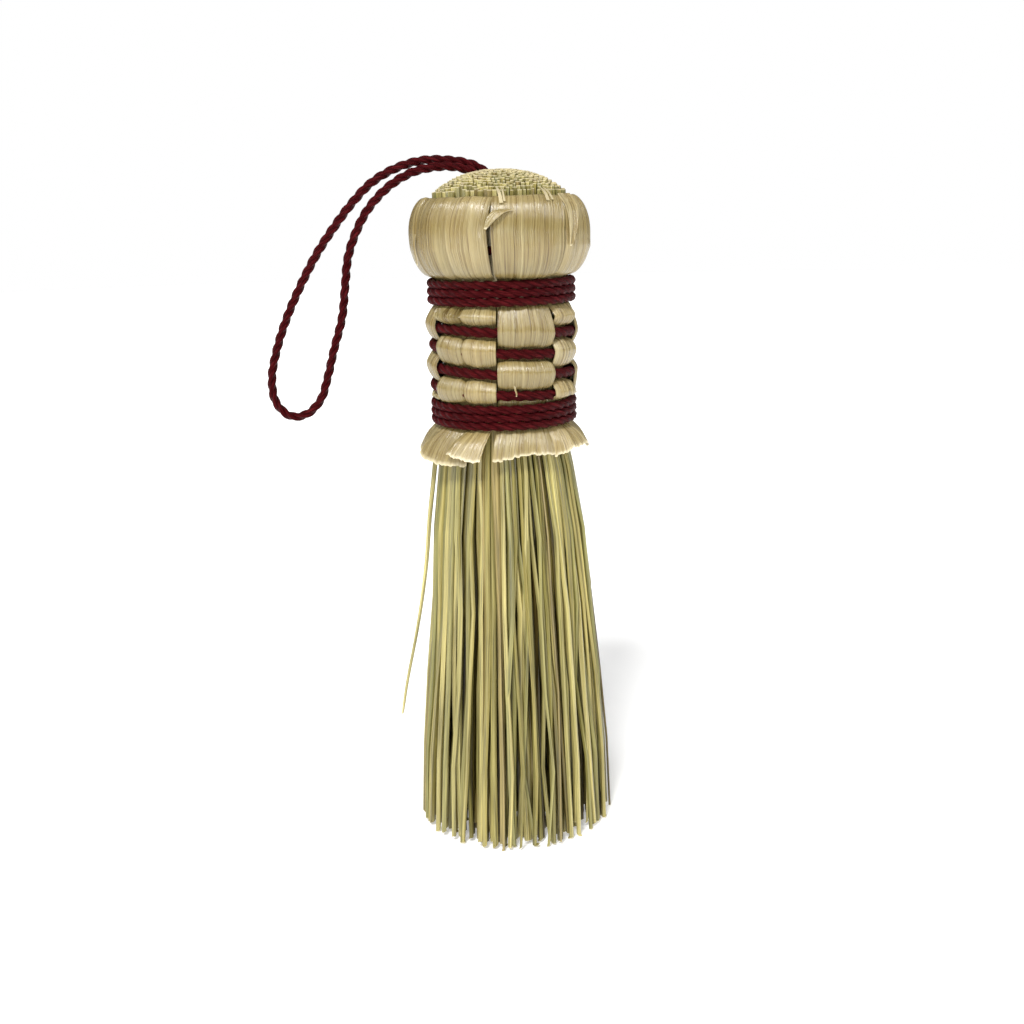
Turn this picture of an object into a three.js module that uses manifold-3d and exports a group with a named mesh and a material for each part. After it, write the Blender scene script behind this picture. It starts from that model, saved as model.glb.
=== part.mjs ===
// Hand whisk of broomcorn: a bundle of long stems in strips of stalk skin, which are folded over the
// shoulder, bound and woven with twisted cord, and flared into a short skirt. A loop of the same cord
// hangs out of the crown.
// Millimetres, +Z up. The origin is the middle of the flat brush end, and the front looks along -Y.

import * as THREE from "three";
import { mergeVertices } from "three/addons/utils/BufferGeometryUtils.js";
import Module from "manifold-3d";

// Gap between neighbouring solids.
const GAP = 0.3;

// Stem bundle: height and radius at each level, from the brush end up to the rim of the crown.
const BUNDLE = [
  [0, 26.2], [30, 25.0], [60, 22.7], [84, 20.9], [104, 17.6], [114, 15.3], [150, 15.3], [158, 16.9],
  [172.4, 17.3],
];
const CROWN_TOP = 180.4;
const CROWN_DROP = 5.2;
const CROWN_POWER = 2.4;
const CROWN_RADIUS = 17.3;

// The bundle is divided into one core lock, a middle ring and an outer ring of locks.
const CORE_SHARE = 0.45;
const MIDDLE_SHARE = 0.73;
const MIDDLE_LOCKS = 6;
const MIDDLE_START = -12;
const OUTER_LOCKS = 12;
const MIDDLE_ARC_POINTS = 5;
const OUTER_ARC_POINTS = 4;
const CORE_SIDES = 16;
const CORE_DOME_SHARES = [1, 0.6, 0];

// Twisted cord.
const BAND_CORD_RADIUS = 0.95;
const WEFT_CORD_RADIUS = 1.1;
const LOOP_CORD_RADIUS = 1.15;
const CORD_SIDES = 8;

// Degrees of a turn in each step of a tube: short steps in the bindings, longer ones in the weft.
const BAND_STEP = 18;
const WEFT_STEP = 17;

// Bindings: three level turns each, with the steps from turn to turn at the back. The level share of a
// turn is the part of it that doesn't step.
const BAND_RADIUS = 18.7;
const BAND_PITCH = 2.12;
const BAND_TURNS = 3;
const BAND_LEVEL_SHARE = 0.84;
const UPPER_BAND_Z = 149.7;
const LOWER_BAND_Z = 118.2;

// Weft: one spiral. Azimuths are in degrees from the front, positive towards +X.
const WEFT_RADIUS = 18.2;
const WEFT_PITCH = 5.3;
const FIRST_ROW_Z = 139.9;
const WEFT_START = -215;
const WEFT_END = 1132;

// Strips of stalk skin: thickness, and radii of a strip's middle surface.
const STRIP_THICKNESS = 0.5;
const STRIP_COLUMN_SPAN = 19;
const STRIP_UNDER_BAND = 17.1;
const STRIP_UNDER_CORD = WEFT_RADIUS - WEFT_CORD_RADIUS - GAP - STRIP_THICKNESS / 2;
const STRIP_OVER_CORD = WEFT_RADIUS + WEFT_CORD_RADIUS + GAP + STRIP_THICKNESS / 2;
const PILLOW_RADIUS = 19.5;

// Radius and height of a strip's hidden inner leg, its fold over the shoulder and its bulge.
const HEAD_OUTLINE = [
  [16.25, 147.2], [16.25, 151.2], [17.9, 157.5], [17.95, 170], [18.7, 172.4], [20.1, 172.9],
  [21.8, 171.5], [23.1, 168.8], [23.7, 165], [23.4, 160.5], [22.3, 157], [20.2, 154.1],
];

// The way in under a binding and out of it again, as radius and height from its nearest turn. One is
// the step out of a dip under the weft, mirrored for the step in.
const UNDER_BAND_IN = [[-0.3, 1.45], [-1.3, 0.9], [STRIP_UNDER_BAND - BAND_RADIUS, 0]];
const UNDER_BAND_OUT = [[STRIP_UNDER_BAND - BAND_RADIUS, 0], [-1.35, -0.85], [-0.5, -1.5]];
const DIP_STEP = [[0.5, 2.0], [-0.75, 1.45], [STRIP_UNDER_CORD - WEFT_RADIUS, 0.5]];
const SHORT_DROP = 3.5;

// Where a strip crosses over a cord: how far its crest starts above the cord's middle and ends below it.
// Then how far the last pillow sits above its middle height, and the way from it to the lower binding.
const CREST_ABOVE = 1.2;
const CREST_BELOW = 0.5;
const LAST_PILLOW_RISE = 0.4;
const ONTO_LOWER_BAND = [0.6, 1.8];

// Share of the skirt's spread and of its drop at the bend above the cut end.
const SKIRT_SPREAD_SHARE = 0.6;
const SKIRT_DROP_SHARE = 0.45;

// Panels of the weave, each made of one strip or of two that lie side by side. A strip is its name, the
// azimuths of its two edges, and the radius and height of its cut end in the skirt.
const PANELS = [
  [["strip_a", -120, -64.7, 24.2, 107.2]],
  [["strip_b1", -64.7, -31.4, 22.6, 106.9], ["strip_b2", -31.4, -4.7, 22.0, 107.2]],
  [["strip_c", -4.7, 46.5, 21.2, 107.6]],
  [["strip_d", 46.5, 80, 23.5, 109.2]],
  [["strip_e1", 80, 107, 22.6, 107.4], ["strip_e2", 107, 135, 21.8, 106.7]],
  [["strip_f", 135, 185, 22.4, 107.3]],
  [["strip_g1", 185, 213, 23.0, 107.5], ["strip_g2", 213, 240, 22.0, 106.6]],
];
const FIRST_WEFT_PANEL = 5;
const LAST_WEFT_PANEL = 3;
const ROWS = 4;

// Inner tie: two turns around the inner legs, inside the bulge.
const TIE_RADIUS = 19.45;
const TIE_Z = 160;
const TIE_TURNS = 2;

// Hanging loop: centres of the two strands where they leave the crown, and the knot below them.
const TAIL_Z = 167.7;
const KNOT_CENTRE = [-2.5, 7.6, 163.8];
const KNOT_RADIUS = 3.2;
const KNOT_CLEARANCE = 0.4;
const KNOT_SIDES = 12;
const KNOT_RINGS = 8;
const HOLE_RADIUS = 1.6;
const HOLE_STEPS = 8;
const HOLE_POINTS = 6;
const OUTER_STRAND = [
  [-1.5, 8.5, TAIL_Z], [-1.5, 8.5, 175], [-2.4, 8.6, 178.6], [-5.2, 8.6, 181.1], [-8.6, 8.4, 182.4],
  [-13, 8.1, 183.1], [-18.7, 7.8, 183.3], [-24, 7.4, 182.4], [-29.5, 7, 180.3], [-34.2, 6.6, 177.4],
  [-38.8, 6, 172.9], [-43.4, 5.4, 167.4], [-48.8, 4.8, 160], [-53.9, 4.2, 151.2], [-57.8, 3.8, 143.3],
  [-61, 3.5, 135], [-62.9, 3.2, 127], [-62.2, 3, 120.5], [-58.6, 3, 116.7],
];
const INNER_STRAND = [
  [-54.2, 3, 117], [-50, 3, 120.9], [-47.8, 3.2, 126.8], [-45.6, 3.4, 134.5], [-43, 3.8, 143],
  [-41.8, 4.2, 151.2], [-40.7, 4.6, 158.5], [-38.4, 5, 164.8], [-34.8, 5.4, 171], [-29.2, 5.8, 176.6],
  [-23.2, 6.1, 180], [-18.4, 6.2, 181.2], [-13.4, 6.3, 181.5], [-9.4, 6.4, 180.9], [-6.2, 6.5, 179.7],
  [-4.1, 6.6, 177.6], [-3.5, 6.7, 174.4], [-3.5, 6.7, TAIL_Z],
];
const LOOP_STEPS = 50;

// Stray stem that has left the bundle below the skirt.
const STRAY_RADIUS = 0.5;
const STRAY_STEPS = 10;
const STRAY_ROUTE = [
  [-18.2, -4, 110], [-19.5, -4.3, 100], [-21, -4.7, 89], [-22.2, -5, 77.5], [-24, -5.2, 65.7],
  [-26.3, -5.4, 54], [-29, -5.6, 42], [-30.8, -5.7, 32],
];

const stem = new THREE.MeshStandardMaterial({ color: 0xb9ad74, roughness: 0.7, metalness: 0 });
const skin = new THREE.MeshStandardMaterial({ color: 0xcdb98b, roughness: 0.45, metalness: 0 });
const cord = new THREE.MeshStandardMaterial({ color: 0x4e1019, roughness: 0.6, metalness: 0 });

const whisk = new THREE.Group();

function add(name, geometry, material) {
  const mesh = new THREE.Mesh(geometry, material);
  mesh.name = name;
  whisk.add(mesh);
}

function vector([x, y, z]) {
  return new THREE.Vector3(x, y, z);
}

// Point at a radius, an azimuth in degrees from the front, and a height.
function polar(radius, azimuth, z) {
  const angle = THREE.MathUtils.degToRad(azimuth);
  return new THREE.Vector3(radius * Math.sin(angle), -radius * Math.cos(angle), z);
}

function crownHeight(radius) {
  return CROWN_TOP - CROWN_DROP * Math.pow(radius / CROWN_RADIUS, CROWN_POWER);
}

// Closed solid through a row of rings with equally many points, each ring counter-clockwise when it is
// seen from ahead: there along one side, and back along the other with as many points. Each end is
// closed by a ladder of rungs between the two sides.
function loft(rings) {
  const triangles = [];
  const count = rings[0].length;
  for (let i = 0; i + 1 < rings.length; i++) {
    for (let j = 0; j < count; j++) {
      const k = (j + 1) % count;
      triangles.push(rings[i][j], rings[i][k], rings[i + 1][k]);
      triangles.push(rings[i][j], rings[i + 1][k], rings[i + 1][j]);
    }
  }
  for (const ring of [[...rings[0]].reverse(), rings[rings.length - 1]]) {
    for (let j = 0; j < count / 2 - 1; j++) {
      const k = count - 1 - j;
      triangles.push(ring[j], ring[j + 1], ring[k - 1]);
      triangles.push(ring[j], ring[k - 1], ring[k]);
    }
  }
  return new THREE.BufferGeometry().setFromPoints(triangles);
}

// Solids for cutting. What a cut leaves loose falls away, so the largest piece is kept.
const wasm = await Module();
wasm.setup();

function toSolid(geometry) {
  const bare = geometry.clone().deleteAttribute("normal").deleteAttribute("uv");
  const merged = mergeVertices(bare, 1e-4);
  const vertProperties = new Float32Array(merged.attributes.position.array);
  const triVerts = new Uint32Array(merged.index.array);
  return new wasm.Manifold(new wasm.Mesh({ numProp: 3, vertProperties, triVerts }));
}

function subtract(geometry, cutters) {
  const cut = cutters.reduce((solid, cutter) => solid.subtract(cutter), toSolid(geometry));
  const [largest] = cut.decompose().sort((a, b) => b.volume() - a.volume());
  const { vertProperties, triVerts } = largest.getMesh();
  const result = new THREE.BufferGeometry();
  result.setAttribute("position", new THREE.BufferAttribute(vertProperties, 3));
  result.setIndex(new THREE.BufferAttribute(triVerts, 1));
  return result;
}

// ---- Cords -------------------------------------------------------------------------------------------

// Helix around the Z axis, with its azimuths in degrees.
class Helix extends THREE.Curve {
  constructor(radius, start, end, heightAt) {
    super();
    Object.assign(this, { radius, start, end, heightAt });
  }

  getPoint(t) {
    const azimuth = THREE.MathUtils.lerp(this.start, this.end, t);
    return polar(this.radius, azimuth, this.heightAt(azimuth));
  }
}

function tube(curve, radius, steps) {
  const corners = Array.from({ length: CORD_SIDES }, (_, i) => {
    const angle = (2 * Math.PI * i) / CORD_SIDES;
    return new THREE.Vector2(radius * Math.cos(angle), radius * Math.sin(angle));
  });
  const options = { steps, extrudePath: curve, bevelEnabled: false };
  return new THREE.ExtrudeGeometry(new THREE.Shape(corners), options);
}

// Level turns around a middle height, the first and last of them ending where the steps begin.
function band(middle, radius, turns) {
  function heightAt(azimuth) {
    const turn = azimuth / 360 + (turns - 1) / 2;
    const offset = turn - Math.round(turn);
    const step = Math.max(0, (Math.abs(offset) - BAND_LEVEL_SHARE / 2) / (1 - BAND_LEVEL_SHARE));
    return middle + BAND_PITCH * ((turns - 1) / 2 - Math.round(turn) - Math.sign(offset) * step);
  }
  const halfSweep = (turns - 1 + BAND_LEVEL_SHARE) * 180;
  const curve = new Helix(radius, -halfSweep, halfSweep, heightAt);
  return tube(curve, BAND_CORD_RADIUS, Math.round((2 * halfSweep) / BAND_STEP));
}

function weftHeight(azimuth) {
  return FIRST_ROW_Z - (WEFT_PITCH * azimuth) / 360;
}

// ---- Stem locks --------------------------------------------------------------------------------------

// Lock between two shares of the bundle's radius and two azimuths, from the flat end to the crown.
function sectorLock(innerShare, outerShare, from, to, count) {
  function arc(radius) {
    const inset = THREE.MathUtils.radToDeg(GAP / 2 / radius);
    return Array.from({ length: count }, (_, i) => {
      const azimuth = THREE.MathUtils.lerp(from + inset, to - inset, i / (count - 1));
      return polar(radius, azimuth, 0);
    });
  }
  function ring(bundleRadius, heightAt) {
    const inner = innerShare * bundleRadius + GAP / 2;
    const outer = outerShare * bundleRadius - (outerShare < 1 ? GAP / 2 : 0);
    const points = [...arc(outer), ...arc(inner).reverse()];
    points.forEach((p) => p.setZ(heightAt(Math.hypot(p.x, p.y))));
    return points;
  }
  const rings = BUNDLE.map(([z, radius]) => ring(radius, () => z));
  rings.push(ring(CROWN_RADIUS, crownHeight));
  return loft(rings);
}

function coreLock() {
  const outline = BUNDLE.map(([z, radius]) => new THREE.Vector2(CORE_SHARE * radius - GAP / 2, z));
  const rim = CORE_SHARE * CROWN_RADIUS - GAP / 2;
  for (const share of CORE_DOME_SHARES) {
    outline.push(new THREE.Vector2(share * rim, crownHeight(share * rim)));
  }
  outline.unshift(new THREE.Vector2(0, 0));
  return new THREE.LatheGeometry(outline, CORE_SIDES).rotateX(Math.PI / 2);
}

// ---- Strips ------------------------------------------------------------------------------------------

// Rows of weft that cross a panel, from the top down, each as [row, whether the cord lies over the strip].
function rowsOver(panel) {
  const first = panel >= FIRST_WEFT_PANEL ? 0 : 1;
  const last = panel <= LAST_WEFT_PANEL ? ROWS : ROWS - 1;
  const rows = [];
  for (let row = first; row <= last; row++) rows.push([row, (panel + row) % 2 === 0]);
  return rows;
}

// Middle line of a strip at one azimuth, as radius and height: inner leg, fold, bulge, upper binding,
// weave, lower binding, skirt. It dips under each cord that lies over it and pillows out between them.
// The panel's middle azimuth settles what is the same all over the panel.
function stripLine(panel, middleAzimuth, azimuth, endRadius, endZ) {
  const line = [...HEAD_OUTLINE];
  function follow(steps, radius, z) {
    for (const [dr, dz] of steps) line.push([radius + dr, z + dz]);
  }
  function rowHeight(row, at) {
    return weftHeight(at + 360 * (row - 1));
  }
  const lastUpperTurn = UPPER_BAND_Z - BAND_PITCH;
  const firstLowerTurn = LOWER_BAND_Z + BAND_PITCH;
  follow(UNDER_BAND_IN, BAND_RADIUS, UPPER_BAND_Z + BAND_PITCH);
  follow(UNDER_BAND_OUT, BAND_RADIUS, lastUpperTurn);

  let lastLow = lastUpperTurn;
  let isOut = false;
  const rows = rowsOver(panel);
  for (const [row, cordOver] of rows) {
    const z = rowHeight(row, azimuth);
    if (cordOver) {
      if (!isOut) line.push([PILLOW_RADIUS, (lastLow + z) / 2]);
      follow(DIP_STEP, WEFT_RADIUS, z);
      follow(DIP_STEP.map(([dr, dz]) => [dr, -dz]).reverse(), WEFT_RADIUS, z);
      lastLow = z;
    } else {
      line.push([STRIP_OVER_CORD, z + CREST_ABOVE], [STRIP_OVER_CORD, z - CREST_BELOW]);
    }
    isOut = !cordOver;
  }
  const [lastRow] = rows[rows.length - 1];
  if (!isOut && rowHeight(lastRow, middleAzimuth) - firstLowerTurn < SHORT_DROP + BAND_CORD_RADIUS) {
    line.pop();
  } else {
    if (lastRow < ROWS && !isOut) {
      line.push([PILLOW_RADIUS, (lastLow + firstLowerTurn) / 2 + LAST_PILLOW_RISE]);
    }
    follow([ONTO_LOWER_BAND], BAND_RADIUS, firstLowerTurn);
    follow(UNDER_BAND_IN.slice(0, 1), BAND_RADIUS, firstLowerTurn);
  }
  follow(UNDER_BAND_IN.slice(1), BAND_RADIUS, firstLowerTurn);
  follow(UNDER_BAND_OUT, BAND_RADIUS, LOWER_BAND_Z - BAND_PITCH);
  const [topRadius, topZ] = line[line.length - 1];
  const bendRadius = THREE.MathUtils.lerp(topRadius, endRadius, SKIRT_SPREAD_SHARE);
  line.push([bendRadius, THREE.MathUtils.lerp(topZ, endZ, SKIRT_DROP_SHARE)], [endRadius, endZ]);
  return line;
}

// Closed ribbon: at each station of the line its skin side and its back side, from edge to edge.
function strip(panel, middleAzimuth, from, to, endRadius, endZ) {
  const columns = Math.ceil((to - from) / STRIP_COLUMN_SPAN) + 1;
  const sides = Array.from({ length: columns }, (_, j) => {
    const share = j / (columns - 1);
    const line = stripLine(panel, middleAzimuth, THREE.MathUtils.lerp(from, to, share), endRadius, endZ);
    return line.map(([radius, z], i) => {
      const [beforeRadius, beforeZ] = line[Math.max(i - 1, 0)];
      const [afterRadius, afterZ] = line[Math.min(i + 1, line.length - 1)];
      const along = new THREE.Vector2(afterRadius - beforeRadius, afterZ - beforeZ);
      along.setLength(STRIP_THICKNESS / 2);
      const inset = THREE.MathUtils.radToDeg(GAP / 2 / radius);
      const azimuth = THREE.MathUtils.lerp(from + inset, to - inset, share);
      return [
        polar(radius - along.y, azimuth, z + along.x),
        polar(radius + along.y, azimuth, z - along.x),
      ];
    });
  });
  const rings = sides[0].map((_, i) => {
    const skinSide = sides.map((column) => column[i][0]).reverse();
    const backSide = sides.map((column) => column[i][1]);
    return [...skinSide, ...backSide];
  });
  return loft(rings);
}

// ---- Assembly ----------------------------------------------------------------------------------------

// Holes of the two strands and the chamber of the knot, cut out of the locks that they pass.
const strandHoles = [OUTER_STRAND.slice(0, HOLE_POINTS), INNER_STRAND.slice(-HOLE_POINTS)].map((points) => {
  const curve = new THREE.CatmullRomCurve3(points.map(vector), false, "centripetal");
  return toSolid(tube(curve, HOLE_RADIUS, HOLE_STEPS));
});
function ball(radius) {
  const sphere = new THREE.SphereGeometry(radius, KNOT_SIDES, KNOT_RINGS);
  return sphere.rotateX(Math.PI / 2).translate(...KNOT_CENTRE);
}
const cutters = [...strandHoles, toSolid(ball(KNOT_RADIUS + KNOT_CLEARANCE))];

add("core_lock", subtract(coreLock(), cutters), stem);
const middleSpan = 360 / MIDDLE_LOCKS;
for (let i = 0; i < MIDDLE_LOCKS; i++) {
  const from = MIDDLE_START + i * middleSpan;
  const lock = sectorLock(CORE_SHARE, MIDDLE_SHARE, from, from + middleSpan, MIDDLE_ARC_POINTS);
  add(`middle_lock_${i + 1}`, subtract(lock, cutters), stem);
}
const outerSpan = 360 / OUTER_LOCKS;
for (let i = 0; i < OUTER_LOCKS; i++) {
  const from = i * outerSpan;
  const lock = sectorLock(MIDDLE_SHARE, 1, from, from + outerSpan, OUTER_ARC_POINTS);
  add(`outer_lock_${i + 1}`, lock, stem);
}
const strayCurve = new THREE.CatmullRomCurve3(STRAY_ROUTE.map(vector));
add("stray_stem", tube(strayCurve, STRAY_RADIUS, STRAY_STEPS), stem);

PANELS.forEach((strips, panel) => {
  const middleAzimuth = (strips[0][1] + strips[strips.length - 1][2]) / 2;
  for (const [name, from, to, endRadius, endZ] of strips) {
    add(name, strip(panel, middleAzimuth, from, to, endRadius, endZ), skin);
  }
});

add("upper_binding", band(UPPER_BAND_Z, BAND_RADIUS, BAND_TURNS), cord);
add("lower_binding", band(LOWER_BAND_Z, BAND_RADIUS, BAND_TURNS), cord);
add("inner_tie", band(TIE_Z, TIE_RADIUS, TIE_TURNS), cord);
const weftCurve = new Helix(WEFT_RADIUS, WEFT_START, WEFT_END, weftHeight);
const weftSteps = Math.round((WEFT_END - WEFT_START) / WEFT_STEP);
add("weft_cord", tube(weftCurve, WEFT_CORD_RADIUS, weftSteps), cord);

const loopRoute = [...OUTER_STRAND, ...INNER_STRAND].map(vector);
const loopCurve = new THREE.CatmullRomCurve3(loopRoute, false, "centripetal");
add("hanging_loop", tube(loopCurve, LOOP_CORD_RADIUS, LOOP_STEPS), cord);
add("loop_knot", ball(KNOT_RADIUS), cord);

export default whisk;
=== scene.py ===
"""Looks of a broomcorn hand whisk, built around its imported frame.

A bundle of long straw stems stands in strips of stalk skin. The strips are folded over the shoulder, bound
and woven with twisted maroon cord, and flare into a short skirt. A loop of the same cord hangs out of the
crown. Lengths are in millimetres and azimuths in degrees from the front, positive towards +X, until a mesh
is made, which is in metres.
"""

import math
from collections import namedtuple

import bpy
import numpy as np
from mathutils import Matrix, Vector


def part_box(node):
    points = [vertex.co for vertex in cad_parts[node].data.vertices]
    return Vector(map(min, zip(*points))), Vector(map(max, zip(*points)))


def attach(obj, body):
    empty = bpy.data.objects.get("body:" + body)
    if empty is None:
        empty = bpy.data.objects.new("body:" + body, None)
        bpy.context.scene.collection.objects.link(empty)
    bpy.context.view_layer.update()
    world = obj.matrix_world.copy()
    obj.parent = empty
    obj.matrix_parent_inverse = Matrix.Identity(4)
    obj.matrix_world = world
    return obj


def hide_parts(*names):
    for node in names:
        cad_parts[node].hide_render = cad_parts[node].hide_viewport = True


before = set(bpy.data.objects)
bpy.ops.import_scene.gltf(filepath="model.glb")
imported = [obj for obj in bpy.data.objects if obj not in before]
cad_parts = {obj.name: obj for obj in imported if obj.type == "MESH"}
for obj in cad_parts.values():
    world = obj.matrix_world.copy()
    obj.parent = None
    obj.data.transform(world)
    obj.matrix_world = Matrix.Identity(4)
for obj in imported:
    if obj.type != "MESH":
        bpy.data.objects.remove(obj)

bl_info = {
    "name": "Broomcorn Hand Whisk",
    "version": (1, 0, 0),
    "blender": (4, 5, 0),
    "location": "3D View > Sidebar > Whisk",
    "description": "Stems, skin strips, twisted cords and stage of a hand whisk around its packed frame",
    "category": "Add Mesh",
}

MM = 0.001
FIBRE_UV = "fibre"
SHARP_ANGLE = 48


def node_box(node):
    """Lowest and highest corner of a frame node, in millimetres."""
    return np.array([list(corner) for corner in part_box(node)]) / MM


# ---- Bundle ----

CORE_BOX = node_box("core_lock")
CROWN_TOP = CORE_BOX[1, 2]
CROWN_DROP = 6.0
CROWN_POWER = 2.4
CROWN_RADIUS = 17.3
END_RADIUS = node_box("outer_lock_3")[1, 0] + 0.5
# Height and radius of the bundle, from the brush end up to the rim of the crown.
BUNDLE = np.array([
    (0, END_RADIUS), (14, END_RADIUS - 0.1), (45, 24.1), (69, 21.8), (92, 20.1), (101, 18.9), (114, 16.0),
    (150, 16.0), (158, 16.9), (172.4, 17.3),
])
# How far the brush leans to the side, as height and distance.
LEAN = np.array([(0, 0.5), (30, 0.8), (66, 1.0), (92, 0.5), (112, 0)])
# Shares of the disc's radius at which the core lock and the middle locks end.
CORE_SHARE = 0.45
MIDDLE_SHARE = 0.73
MIDDLE_LOCKS = 6
MIDDLE_START = -12
OUTER_LOCKS = 12
SPREAD_ROUNDS = 70
SPREAD_PUSH = 0.22
STEM_SIDES = 6
STEM_OVAL = 0.14
# Heights of the rings of a stem between the cut under the crown and the tip.
STEM_LEVELS = (166, 150, 115, 103, 86, 66, 44, 22)
# How thick a stem is along its height, as a share of its own thickness.
SLIMNESS = np.array([(0, 0.93), (90, 1.0), (112, 0.86), (160, 0.86), (180, 0.98)])
FLARE_TOP = 108
# Share of the stems that are slender, and how thick those are next to the others.
SLENDER_SHARE = 0.12
SLENDER = 0.6
# Steepest slant of the cut at a tip, and how thick a stem is at its cut in the crown.
STEM_SLANT = 0.7
TOP_RADIUS = 0.96
# Painted shade on the stems deep in the bundle: their tone, the shares of the disc's radius between which
# they get lighter, and how many rings at the top, which the crown shows, are left light on all stems.
INNER_PAINTED_SHADE = 0.32
PAINTED_SHADE_REACH = (0.8, 0.97)
CROWN_RINGS = 3
# How uneven the cuts in the crown are, how high the tips end, and the share that ends higher still.
TOP_SPREAD = (-0.14, 0.04)
TIP_SPREAD = 0.9
SHORT_SHARE = 0.12
SHORT_BY = (1, 5)
# How far stems drift sideways on their way down, and the share that drifts further, over its neighbours.
DRIFT = 1.1
CROSSING_SHARE = 0.2
CROSSING_DRIFT = 3.0
# Side to side sway, the height in which it turns by a radian, and the small kinks on it.
SWAY = 0.5
SWAY_LENGTH = (9, 17)
KINKS = 0.2
# Shares of the disc's radius between which loose stems set in, how many there are further out, how far
# they bow out of the bundle, and how much of half a sine they follow.
LOOSE_REACH = (0.85, 0.95)
LOOSE_SHARE = 0.1
LOOSE_BOW = 1.9
LOOSE_TURN = (1.1, 1.9)
# Share by which any other stem that leaves the bundle is brought back.
HOLD_BACK = 0.85
# Radius of the stray stem at its two ends, and its tint, tone and the slope of its cut.
STRAY_THICK = (0.66, 0.34)
STRAY_LOOKS = ((0.6,), (1.1,), (0.5,))
STRAY_ROUTE = (
    (-18.2, -4, 110), (-19.5, -4.3, 100), (-21, -4.7, 89), (-22.2, -5, 77.5), (-24, -5.2, 65.7),
    (-26.3, -5.4, 54), (-29, -5.6, 42), (-30.8, -5.7, 32),
)

# ---- Cords ----

# Radii of the frame's own cords, which its boxes are measured around.
FRAME_BAND_CORD = 0.95
FRAME_WEFT_CORD = 1.1
UPPER_BOX = node_box("upper_binding")
LOWER_BOX = node_box("lower_binding")
TIE_BOX = node_box("inner_tie")
WEFT_BOX = node_box("weft_cord")
BAND_RADIUS = UPPER_BOX[1, 0] - FRAME_BAND_CORD
BAND_PITCH = 2.12
BAND_TURNS = 3
BAND_LEVEL_SHARE = 0.84
UPPER_BAND_Z = UPPER_BOX[:, 2].mean()
LOWER_BAND_Z = LOWER_BOX[:, 2].mean()
TIE_RADIUS = TIE_BOX[1, 0] - FRAME_BAND_CORD
TIE_TURNS = 2
TIE_Z = TIE_BOX[:, 2].mean()
WEFT_RADIUS = 18.3
WEFT_PITCH = 5.3
WEFT_START = -215
WEFT_END = 1132
FIRST_ROW_Z = WEFT_BOX[1, 2] - FRAME_WEFT_CORD + WEFT_PITCH * WEFT_START / 360
KNOT_CENTRE = node_box("loop_knot").mean(axis=0)
KNOT_CORD_RADIUS = 0.8
KNOT_SIZE = 0.78
HOLE_RADIUS = 2.3
HOLE_HEIGHTS = (120, 160)
TAIL_Z = 167.7
LOOP_ROUTE = (
    (-1.5, 8.5, TAIL_Z), (-1.5, 8.5, 175), (-2.4, 8.6, 178.6), (-5.2, 8.6, 181.1), (-8.6, 8.4, 182.4),
    (-13, 8.1, 183.1), (-18.7, 7.8, 183.3), (-24, 7.4, 182.4), (-29.5, 7, 180.3), (-34.2, 6.6, 177.4),
    (-38.8, 6, 172.9), (-43.4, 5.4, 167.4), (-48.8, 4.8, 160), (-53.9, 4.2, 151.2), (-57.8, 3.8, 143.3),
    (-61, 3.5, 135), (-62.9, 3.2, 127), (-62.2, 3, 120.5), (-58.6, 3, 116.7), (-54.2, 3, 117),
    (-50, 3, 120.9), (-47.8, 3.2, 126.8), (-45.6, 3.4, 134.5), (-43, 3.8, 143), (-41.8, 4.2, 151.2),
    (-40.7, 4.6, 158.5), (-38.4, 5, 164.8), (-34.8, 5.4, 171), (-29.2, 5.8, 176.6), (-23.2, 6.1, 180),
    (-18.4, 6.2, 181.2), (-13.4, 6.3, 181.5), (-9.4, 6.4, 180.9), (-6.2, 6.5, 179.7), (-4.1, 6.6, 177.6),
    (-3.5, 6.7, 174.4), (-3.5, 6.7, TAIL_Z),
)
PLIES = 3
PLY_SAMPLES = 8
ROPE_STEP = 0.4
# A ply's own radius and its distance from the rope's middle, and how deep the valleys are pressed, as
# shares of the rope's radius.
PLY_RADIUS = 0.464
PLY_OFFSET = 0.536
PLY_VALLEY = 0.76
# Angle off a ply's crest, as a share of the angle between plies, at which the painted shade of a valley
# sets in.
VALLEY_START = 0.32

# ---- Strips of stalk skin ----

STRIP_UNDER_BAND = 17.1
STRIP_UNDER_CORD = 16.6
STRIP_OVER_CORD = 20.25
PILLOW_RADIUS = 20.1
ROWS = 4
FIRST_WEFT_PANEL = 5
LAST_WEFT_PANEL = 3
# Least drop from a strip's last dip to the lower binding that leaves room for a pillow.
SHORT_DROP = 3.5
# Radius and height of a strip's hidden inner leg, its fold over the shoulder and its bulge.
HEAD_OUTLINE = (
    (16.4, 147.2), (16.4, 151.2), (17.9, 157.5), (17.9, 170), (18.4, 172.7), (19.9, 173.4),
    (21.7, 171.9), (23.1, 168.8), (23.7, 165), (23.4, 160.5), (22.3, 157), (20.2, 154.1),
)
# Stations of a strip's line that its edges and its relief are given at. The waist counts from its end.
RIM_STATION = 4
BELLY_STATION = 8
CREASE_STATION = 9
NECK_STATION = 14
FIRST_PILLOW = 17.8
WAIST_FROM_END = 4
# Over how many stations the belly, the first pillow and the crease fade.
BELLY_SPAN = 2.6
PILLOW_SPAN = 1.5
CREASE_SPAN = 0.28
# The way in under a binding and out of it, as radius and height from its nearest turn, and the step out
# of a dip under the weft.
UNDER_BAND_IN = ((-0.3, 1.45), (-1.3, 0.9), (STRIP_UNDER_BAND - BAND_RADIUS, 0))
UNDER_BAND_OUT = ((STRIP_UNDER_BAND - BAND_RADIUS, 0), (-1.35, -0.85), (-0.5, -1.5))
DIP_STEP = ((0.5, 2.0), (-0.75, 1.5), (STRIP_UNDER_CORD - WEFT_RADIUS, 0.5))
OVER_STEP = ((0, 1.2), (0, -0.5))
LOWER_BAND_IN = ((0.6, 1.8), UNDER_BAND_IN[0])
LAST_PILLOW_RISE = 0.4
ROWS_PER_STATION = 5
COLUMN_WIDTH = 0.28
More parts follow.
